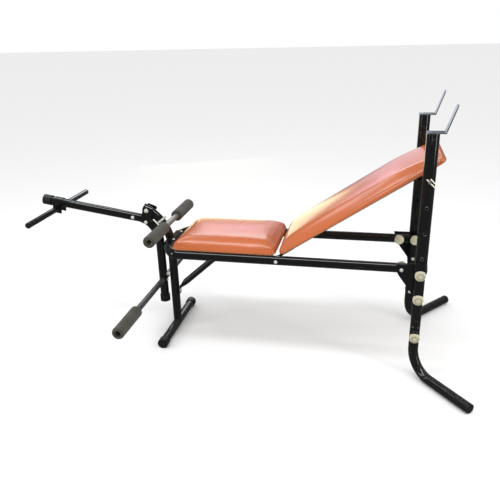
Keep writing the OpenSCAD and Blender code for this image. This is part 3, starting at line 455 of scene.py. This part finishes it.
# %% Where the pads are
hinge_place = Vector(joints["backrest_hinge"]["pos_m"])
BACK_TILT = math.radians(33.7)
turn_back = (Matrix.Translation(hinge_place) @ Matrix.Rotation(-BACK_TILT, 4, "Y"))
lay_seat = Matrix.Identity(4)


def flat_box(node, turned):
    """Lowest and highest corners of a CAD node in the flat frame that turned maps out of."""
    back = turned.inverted()
    corners = [back @ v.co for v in nodes[node].data.vertices]
    return (Vector([min(c[i] for c in corners) for i in range(3)]),
            Vector([max(c[i] for c in corners) for i in range(3)]))


seat_space = flat_box("seat_pad", lay_seat)
back_space = flat_box("backrest_pad", turn_back)
seat_board_space = flat_box("seat_board", lay_seat)
back_board_space = flat_box("backrest_board", turn_back)
for label, (low, high) in (("seat", seat_space), ("backrest", back_space),
                           ("seat board", seat_board_space),
                           ("backrest board", back_board_space)):
    print(label, [round(x * 1000, 1) for x in (*low, *high)])

# %% [markdown]
# ## The block before the air
# Real pad foam is cut as a plain slab, and the tight cover rounds it off. Here one cube is
# scaled to the pad's space and bevelled three times: widely at its four upright corners,
# less round the top, and only slightly round the bottom, where it meets the board.

# %% A block of foam
FOAM_SLACK = 0.001        # how much smaller the block starts than the pad's space
CROWN_ROOM = 0.008        # height left for the crown
CORNER_R = 0.022
TOP_EDGE_R = 0.016
BOTTOM_EDGE_R = 0.0035


def upward(edge):
    """True for an edge that runs up the block."""
    a, b = (v.co for v in edge.verts)
    return abs(a.z - b.z) > 0.7 * edge.calc_length()


def foam_block(low, high):
    """The block before it is blown up, with rounded corners and top edges."""
    bm = bmesh.new()
    bmesh.ops.create_cube(bm, size=1)
    size = Vector((high.x - low.x - 2 * FOAM_SLACK, high.y - low.y - 2 * FOAM_SLACK,
                   high.z - low.z - CROWN_ROOM))
    middle = Vector(((low.x + high.x) / 2, (low.y + high.y) / 2, low.z + size.z / 2))
    bmesh.ops.scale(bm, vec=size, verts=bm.verts)
    bmesh.ops.translate(bm, vec=middle, verts=bm.verts)
    bmesh.ops.bevel(bm, geom=[e for e in bm.edges if upward(e)], offset=CORNER_R,
                    segments=6, profile=0.5, affect="EDGES", material=-1)
    top = max(v.co.z for v in bm.verts)
    rim = [e for e in bm.edges if all(v.co.z > top - 1e-5 for v in e.verts)]
    bmesh.ops.bevel(bm, geom=rim, offset=TOP_EDGE_R, segments=5, profile=0.5,
                    affect="EDGES", material=-1)
    rim = [e for e in bm.edges if all(v.co.z < low.z + 1e-5 for v in e.verts)]
    bmesh.ops.bevel(bm, geom=rim, offset=BOTTOM_EDGE_R, segments=2, profile=0.5,
                    affect="EDGES", material=-1)
    return bm


def settled(thing):
    """Works the object's modifiers into its mesh."""
    graph = bpy.context.evaluated_depsgraph_get()
    mesh = bpy.data.meshes.new_from_object(thing.evaluated_get(graph))
    thing.modifiers.clear()
    thing.data = mesh
    return thing


# %% [markdown]
# ## Air in the pads
# A sculpted crown could be drawn by a formula alone, but cloth under pressure finds by
# itself how corners and edges share the strain. The simulation runs for a few steps and is
# then worked into the mesh. A cap on how far a point may move keeps the pad in its place.

# %% Blow up the pads
MAX_PUFF = 0.01
AIR_PRESSURE = 4.0
CLOTH_STIFFNESS = 15
CLOTH_BENDING = 4.0
LAST_STEP = 20
STAPLED_UP_TO = 0.007     # height over the pad's bottom that the staples hold


def blow_up(thing, held_below):
    """Cloth with air pressure inside; points under held_below stay where they are."""
    start = [v.co.copy() for v in thing.data.vertices]
    held = thing.vertex_groups.new(name="stapled")
    held.add([i for i, co in enumerate(start) if co.z < held_below], 1.0, "REPLACE")
    cloth = thing.modifiers.new("foam_air", "CLOTH")
    cloth.settings.vertex_group_mass = "stapled"
    cloth.settings.use_pressure = True
    cloth.settings.uniform_pressure_force = AIR_PRESSURE
    cloth.settings.tension_stiffness = CLOTH_STIFFNESS
    cloth.settings.compression_stiffness = CLOTH_STIFFNESS
    cloth.settings.bending_stiffness = CLOTH_BENDING
    cloth.settings.effector_weights.gravity = 0
    cloth.point_cache.frame_start = 1
    cloth.point_cache.frame_end = LAST_STEP
    for step in range(1, LAST_STEP + 1):
        bpy.context.scene.frame_set(step)
    settled(thing)
    bpy.context.scene.frame_set(1)
    moves = []
    for vertex, before in zip(thing.data.vertices, start):
        move = vertex.co - before
        moves.append(move.length)
        if move.length > MAX_PUFF:
            vertex.co = before + move * (MAX_PUFF / move.length)
    print("puffed by up to", round(max(moves) * 1000, 1), "mm, on average",
          round(sum(moves) / len(moves) * 1000, 1))
    thing.vertex_groups.clear()
    return thing


# %% [markdown]
# ## Seams and gathers
# Tight vinyl still shows its making. A cut piece of top vinyl is sewn to a side strip, so
# a fine seam runs round the side, and at each lower corner the spare vinyl gathers into
# short folds before it turns under the board. Both are pressed into the mesh after it is
# blown up, because a remesh would rub them out.

# %% Press in the seam and the corner folds
SEAM_DEPTH = 0.0012
SEAM_WIDTH = 0.003
FOLD_DEPTH = 0.0012
FOLD_HEIGHT = 0.022       # how far up the side a corner fold reaches
FOLDS_ROUND = 14          # folds in a whole turn
SMOOTHINGS = 45
CROWN = 0.013
BOARD_COVER = 0.0025      # least vinyl and foam outside the board's edge
BOARD_CORNER_R = 0.016
BOARD_GAP = 0.0004        # between the board and the underside that rests on it


def from_core(co, low, high, radius):
    """The step in plan to a point from the box that a rounded rectangle rounds."""
    return Vector((co.x - min(max(co.x, low.x + radius), high.x - radius),
                   co.y - min(max(co.y, low.y + radius), high.y - radius), 0))


def ease_wrinkles(thing, low):
    """Smooths what the staples don't hold."""
    bm = bmesh.new()
    bm.from_mesh(thing.data)
    loose = [v for v in bm.verts if v.co.z > low.z + STAPLED_UP_TO]
    for _ in range(SMOOTHINGS):
        bmesh.ops.smooth_vert(bm, verts=loose, factor=0.5, use_axis_x=True, use_axis_y=True,
                              use_axis_z=True)
    bm.to_mesh(thing.data)
    bm.free()


def smooth_step(x):
    """0 below 0 and 1 above 1, with a soft rise between."""
    x = min(1, max(0, x))
    return x * x * (3 - 2 * x)


def crown_and_bulge(thing, low, high, bulge, thin_end):
    """Crowns the top, thins the far end, and bulges the end that meets the other pad."""
    middle, half = (low + high) / 2, (high - low) / 2
    for vertex in thing.data.vertices:
        u, v = ((vertex.co - middle)[i] / half[i] for i in (0, 1))
        height = (vertex.co.z - low.z) / (high.z - low.z)
        lift = min(1, max(0, height - 0.4) / 0.5)
        vertex.co.z += CROWN * lift * (max(0, 1 - u ** 4) * max(0, 1 - v * v) - 0.6)
        vertex.co.z -= thin_end * lift * smooth_step((u - 0.45) / 0.55)
        near_end = smooth_step((math.copysign(u, u * bulge) - 0.9) / 0.1)
        belly = math.sin(math.pi * (0.12 + 0.88 * min(1, max(0, height)))) ** 0.7
        vertex.co.x += bulge * near_end * belly * max(0, 1 - 0.5 * v * v)


def press_details(thing, low, high, seam_height):
    """Presses in the seam and the folds at the lower corners."""
    for vertex in thing.data.vertices:
        away = from_core(vertex.co, low, high, CORNER_R)
        if away.length < CORNER_R * 0.6:
            continue
        away.normalize()
        rise = vertex.co.z - low.z
        press = SEAM_DEPTH * math.exp(-((rise - seam_height) / SEAM_WIDTH) ** 2)
        in_corner = min(abs(away.x), abs(away.y))
        fold = 0.5 + 0.5 * math.cos(FOLDS_ROUND * math.atan2(away.y, away.x))
        press += (FOLD_DEPTH * fold * min(1, 2.2 * in_corner)
                  * max(0, 1 - rise / FOLD_HEIGHT))
        vertex.co -= away * press


def seat_on_board(thing, board_low, board_high):
    """Lifts the underside off the board, and leaves the vinyl's edge round it."""
    for vertex in thing.data.vertices:
        away = from_core(vertex.co, board_low, board_high, BOARD_CORNER_R)
        outside = away.length - BOARD_CORNER_R
        if outside < 0.0002 and vertex.co.z < board_low.z + 0.002:
            vertex.co.z = board_high.z + BOARD_GAP
        elif outside < BOARD_COVER and vertex.co.z < board_high.z + 0.002 and away.length:
            vertex.co += away.normalized() * (BOARD_COVER - outside)


VOXEL = 0.0045


def make_pad(name, node, body, space, board, turned, seam_height, bulge, thin_end):
    """A whole pad: block, air, crown, seam, folds, a smooth finish, and its place."""
    low, high = space
    thing = from_bmesh(name, foam_block(low, high))
    remesh = thing.modifiers.new("even", "REMESH")
    remesh.mode = "VOXEL"
    remesh.voxel_size = VOXEL
    settled(thing)
    blow_up(thing, low.z + STAPLED_UP_TO)
    ease_wrinkles(thing, low)
    crown_and_bulge(thing, low, high, bulge, thin_end)
    press_details(thing, low, high, seam_height)
    seat_on_board(thing, *board)
    thing.data.transform(turned)
    for face in thing.data.polygons:
        face.use_smooth = True
    smooth = thing.modifiers.new("smooth", "SUBSURF")
    smooth.levels = smooth.render_levels = 1
    thing.data.materials.clear()
    thing.data.materials.append(vinyl)
    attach(thing, body)
    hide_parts(node)
    print(name, len(thing.data.polygons), "faces")
    return thing


seat_cushion = make_pad("seat_cushion", "seat_pad", "frame", seat_space, seat_board_space,
                        lay_seat, 0.02, 0.004, 0)
make_pad("backrest_cushion", "backrest_pad", "backrest", back_space, back_board_space,
         turn_back, 0.018, -0.008, 0.012)
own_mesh(seat_cushion)

# %% [markdown]
# ## Under the pads
# Seen from below, the vinyl turns in under the board and is stapled down in a ragged strip.
# The strip is one thin band with small waves in its inner edge, coloured darker than the pads
# as painted shade, and each staple is a short rounded wire.

# %% Hem and staples
HEM_WIDTH = 0.026
HEM_T = 0.0009
HEM_MARGIN = 0.002        # from the board's edge to the band
HEM_CORNER_R = 0.02
HEM_WAVE = 0.0022
WAVE_PIECE = 0.05         # an edge longer than this is cut up for the waves
STAPLE_PITCH = 0.038
STAPLE_INSET = 0.013
STAPLE_LENGTH = 0.011
STAPLE_WIDTH = 0.0012
STAPLE_T = 0.0009
STAPLE_SUNK = 0.0004      # from the band's face to the middle of a staple
FIRST_STAPLE = 0.03       # from the board's corner
BARE_ENDS = 0.05          # length of a side that has no staples, both ends together


def hem_under(name, body, low, high, turned):
    """A thin vinyl band round the underside of a board."""
    bm = bmesh.new()
    bmesh.ops.create_grid(bm, x_segments=1, y_segments=1, size=0.5)
    bmesh.ops.scale(bm, vec=(high.x - low.x - 2 * HEM_MARGIN,
                             high.y - low.y - 2 * HEM_MARGIN, 1), verts=bm.verts)
    bmesh.ops.translate(bm, vec=((low.x + high.x) / 2, (low.y + high.y) / 2,
                                 low.z - HEM_T), verts=bm.verts)
    bmesh.ops.bevel(bm, geom=bm.verts[:], offset=HEM_CORNER_R, segments=5, profile=0.5,
                    affect="VERTICES", material=-1)
    sides = [e for e in bm.edges if e.is_boundary and e.calc_length() > WAVE_PIECE]
    bmesh.ops.subdivide_edges(bm, edges=sides, cuts=40)
    inner = bmesh.ops.inset_region(bm, faces=bm.faces[:], thickness=HEM_WIDTH,
                                   use_boundary=True, use_even_offset=True)
    strip = set(inner["faces"])
    bmesh.ops.delete(bm, geom=[f for f in bm.faces if f not in strip], context="FACES")
    middle = Vector(((low.x + high.x) / 2, (low.y + high.y) / 2, 0))
    for v in bm.verts:
        edge_gap = min(v.co.x - low.x, high.x - v.co.x, v.co.y - low.y, high.y - v.co.y)
        if edge_gap > HEM_WIDTH * 0.6:
            away = Vector((v.co.x - middle.x, v.co.y - middle.y, 0)).normalized()
            wave = math.sin(v.co.x * 310) + math.sin(v.co.y * 270 + 1.3)
            v.co += away * HEM_WAVE * wave
    upper = bmesh.ops.extrude_face_region(bm, geom=bm.faces[:])["geom"]
    bmesh.ops.translate(bm, vec=(0, 0, HEM_T * 0.9),
                        verts=[v for v in upper if isinstance(v, bmesh.types.BMVert)])
    bmesh.ops.recalc_face_normals(bm, faces=bm.faces)
    band = from_bmesh(name, bm)
    band.data.transform(turned)
    band.data.materials.append(hem_vinyl_painted_shade)
    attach(band, body)
    return band


def staple_row(start, end):
    """Places of the staples along one side."""
    count = int((end - start - BARE_ENDS) / STAPLE_PITCH)
    return [start + FIRST_STAPLE + STAPLE_PITCH * i for i in range(count)]


def staples_under(name, body, low, high, turned):
    """Staples along all four sides of the hem."""
    bm = bmesh.new()
    along_x = (STAPLE_LENGTH, STAPLE_WIDTH, STAPLE_T)
    along_y = (STAPLE_WIDTH, STAPLE_LENGTH, STAPLE_T)
    spots = []
    for x in staple_row(low.x, high.x):
        spots += [(x, low.y + STAPLE_INSET, along_x), (x, high.y - STAPLE_INSET, along_x)]
    for y in staple_row(low.y, high.y):
        spots += [(low.x + STAPLE_INSET, y, along_y), (high.x - STAPLE_INSET, y, along_y)]
    for x, y, size in spots:
        made = bmesh.ops.create_cube(bm, size=1)["verts"]
        bmesh.ops.scale(bm, vec=size, verts=made)
        bmesh.ops.translate(bm, vec=(x, y, low.z - HEM_T - STAPLE_SUNK), verts=made)
    bmesh.ops.bevel(bm, geom=bm.edges[:], offset=0.0003, segments=2, profile=0.5,
                    affect="EDGES", material=-1)
    row = from_bmesh(name, bm)
    row.data.transform(turned)
    row.data.materials.append(zinc_bolt)
    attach(row, body)
    return row


hem_under("seat_hem", "frame", *seat_board_space, lay_seat)
hem_under("backrest_hem", "backrest", *back_board_space, turn_back)
staples_under("seat_staples", "frame", *seat_board_space, lay_seat)
staples_under("backrest_staples", "backrest", *back_board_space, turn_back)

# %% [markdown]
# ## Worn rims
# The support rod has been pushed in and out of the adjustment holes for years, so the paint
# is gone from their rims and the steel shines. A rim is a thin ring laid on the tube, and
# its points are moved onto the tube's curve. Where each hole is comes from the CAD tube
# itself: between its ends, only the holes' edges have points on its outside.

# %% Rims of the adjustment holes
rim_metal = worn("rubbed_rim", (0.5, 0.5, 0.5, 1), 0.6, 0.05, 0.25, 0.1, Metallic=1.0,
                 bare=(0.12, 0.12, 0.12, 1))
RIM_WIRE = 0.0007
LEAST_HOLE_R, MOST_HOLE_R = 0.0053, 0.007   # the bolt holes are smaller


def hole_spots(node):
    """The tube's axis and radius, and the middle and radius of each hole in its faces."""
    low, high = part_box(node)
    axis = Vector(((low.x + high.x) / 2, (low.y + high.y) / 2, 0))
    tube = (high.x - low.x) / 2
    edge = sorted({round(v.co.z, 5) for v in nodes[node].data.vertices
                   if low.z + 0.004 < v.co.z < high.z - 0.004
                   and abs(math.hypot(v.co.x - axis.x, v.co.y - axis.y) - tube) < 0.0002})
    groups = [[edge[0]]]
    for z in edge[1:]:
        if z - groups[-1][-1] > 0.006:
            groups.append([])
        groups[-1].append(z)
    return axis, tube, [((g[0] + g[-1]) / 2, (g[-1] - g[0]) / 2) for g in groups]


def ring_about_y(bm, radius, wire, around=8, steps=32):
    """A thin ring round the Y axis at the origin; returns its points."""
    before = set(bm.verts)
    made = bmesh.ops.create_circle(bm, segments=around, radius=wire,
                                   matrix=Matrix.Translation((radius, 0, 0)))["verts"]
    lines = list({e for v in made for e in v.link_edges})
    bmesh.ops.spin(bm, geom=made + lines, cent=(0, 0, 0), axis=(0, 1, 0),
                   angle=2 * math.pi, steps=steps, use_merge=True)
    return [v for v in bm.verts if v not in before]


def smooth_piece(name, bm, material, body):
    """Finishes a bmesh as a smooth piece that rides on a body."""
    bmesh.ops.remove_doubles(bm, verts=bm.verts, dist=1e-5)
    bmesh.ops.recalc_face_normals(bm, faces=bm.faces)
    for face in bm.faces:
        face.smooth = True
    made = from_bmesh(name, bm)
    made.data.materials.append(material)
    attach(made, body)
    return made


def hole_rims(name, node, side):
    """Rings on the outer face of one upright."""
    axis, tube, spots = hole_spots(node)
    bm = bmesh.new()
    holes = [(z, radius) for z, radius in spots if LEAST_HOLE_R < radius < MOST_HOLE_R]
    for z, radius in holes:
        for v in ring_about_y(bm, radius, RIM_WIRE):
            v.co.y += side * math.sqrt(tube ** 2 - v.co.x ** 2)
            v.co += Vector((axis.x, axis.y, z))
    print(name, [(round(z, 4), round(r, 4)) for z, r in holes])
    return smooth_piece(name, bm, rim_metal, "frame")


hole_rims("hole_rims_near", "upper_upright_near", -1)
hole_rims("hole_rims_far", "upper_upright_far", 1)

# %% [markdown]
# ## Bolt covers
# The big cream bolt covers are moulded. Each has a small round button in the middle, where
# the mould was fed. A dark ring round its face is painted shade that stands for a shallow
# groove. The covers are one CAD node, so the code first finds its separate solids, and lays
# a flattened ball and a dark ring on each.

# %% Buttons on the bolt covers
button_cream = worn("cream_button", (0.5, 0.46, 0.33, 1), 0.4, 0.2, 0.32, 0.06,
                    bare=(0.25, 0.22, 0.16, 1))


def islands(node):
    """The box of each separate solid in a CAD node."""
    bm = bmesh.new()
    bm.from_mesh(nodes[node].data)
    bmesh.ops.remove_doubles(bm, verts=bm.verts, dist=1e-6)
    left, boxes = set(bm.verts), []
    while left:
        stack, found = [left.pop()], []
        while stack:
            v = stack.pop()
            found.append(v.co.copy())
            for e in v.link_edges:
                other = e.other_vert(v)
                if other in left:
                    left.remove(other)
                    stack.append(other)
        boxes.append((Vector([min(c[i] for c in found) for i in range(3)]),
                      Vector([max(c[i] for c in found) for i in range(3)])))
    bm.free()
    return boxes


BUTTON_R = 0.0045
BUTTON_FLATNESS = 0.35
BUTTON_SUNK = 0.0003
SHADE_RING_R = 0.0125
SHADE_RING_WIRE = 0.0009
SHADE_RING_SUNK = 0.0012
# The ring's dark colour is painted shade that stands for a shallow groove round each cover's face.
groove_shade = worn("painted_groove_shade", (0.16, 0.14, 0.09, 1), 0.3, 0.1, 0.5, 0.06,
                    bare=(0.1, 0.08, 0.05, 1))

button_bm = bmesh.new()
shade_ring_bm = bmesh.new()
for low, high in islands("bolt_caps"):
    centre = (low + high) / 2
    out = 1 if centre.y > 0 else -1
    face = high.y if out > 0 else low.y
    made = bmesh.ops.create_uvsphere(button_bm, u_segments=20, v_segments=10,
                                     radius=BUTTON_R)["verts"]
    bmesh.ops.scale(button_bm, vec=(1, BUTTON_FLATNESS, 1), verts=made)
    bmesh.ops.translate(button_bm, vec=(centre.x, face - out * BUTTON_SUNK, centre.z),
                        verts=made)
    ring = ring_about_y(shade_ring_bm, SHADE_RING_R, SHADE_RING_WIRE, 6, 36)
    bmesh.ops.translate(shade_ring_bm, vec=(centre.x, face - out * SHADE_RING_SUNK, centre.z),
                        verts=ring)
smooth_piece("bolt_cover_buttons", button_bm, button_cream, "frame")
smooth_piece("bolt_cap_shade_rings", shade_ring_bm, groove_shade, "frame")

# %% [markdown]
# ## Foam rollers
# A roller is a foam sleeve slid over a bar. Its profile is drawn once, from the bore out
# over the rounded end and along the outside with faint ribs from the extruder, and spun
# round the bar's axis. The bore stays open, so the bar's end shows inside it.

# %% Rollers
RIB_PITCH = 0.0085
RIB_DEPTH = 0.0004
END_ROUND = 0.009
BORE_SLACK = 0.0001
STEPS_ROUND = 56


def roller(name, node, body):
    """A foam sleeve in the CAD roller's place."""
    low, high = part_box(node)
    axis_x, axis_z = (low.x + high.x) / 2, (low.z + high.z) / 2
    outer = (high.z - low.z) / 2
    bore = min(math.hypot(v.co.x - axis_x, v.co.z - axis_z)
               for v in nodes[node].data.vertices) + BORE_SLACK
    length = high.y - low.y
    path = [(bore, 0.004), (bore + 0.0015, 0.0008)]
    for step in range(7):
        a = math.radians(-90 + 15 * step)
        path.append((outer - END_ROUND + END_ROUND * math.cos(a),
                     END_ROUND + END_ROUND * math.sin(a)))
    ribs = int((length / 2 - END_ROUND) / (RIB_PITCH / 4))
    for step in range(1, ribs + 1):
        along_bar = END_ROUND + step * (length / 2 - END_ROUND) / ribs
        swell = math.cos(2 * math.pi * (along_bar - END_ROUND) / RIB_PITCH)
        path.append((outer - RIB_DEPTH * (1 - swell), along_bar))
    path += [(r, length - y) for r, y in reversed(path[:-1])]
    bm = bmesh.new()
    ring = [bm.verts.new((axis_x + r, low.y + y, axis_z)) for r, y in path]
    lines = [bm.edges.new((a, b)) for a, b in zip(ring, ring[1:] + ring[:1])]
    bmesh.ops.spin(bm, geom=ring + lines, cent=(axis_x, 0, axis_z), axis=(0, 1, 0),
                   angle=2 * math.pi, steps=STEPS_ROUND, use_merge=True)
    bmesh.ops.recalc_face_normals(bm, faces=bm.faces)
    for face in bm.faces:
        face.smooth = True
    sleeve = from_bmesh(name, bm)
    sleeve.data.materials.append(foam)
    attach(sleeve, body)
    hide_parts(node)
    return sleeve


for place in ("upper_roller_near", "upper_roller_far", "lower_roller_near",
              "lower_roller_far"):
    roller(place + "_foam", place, place)
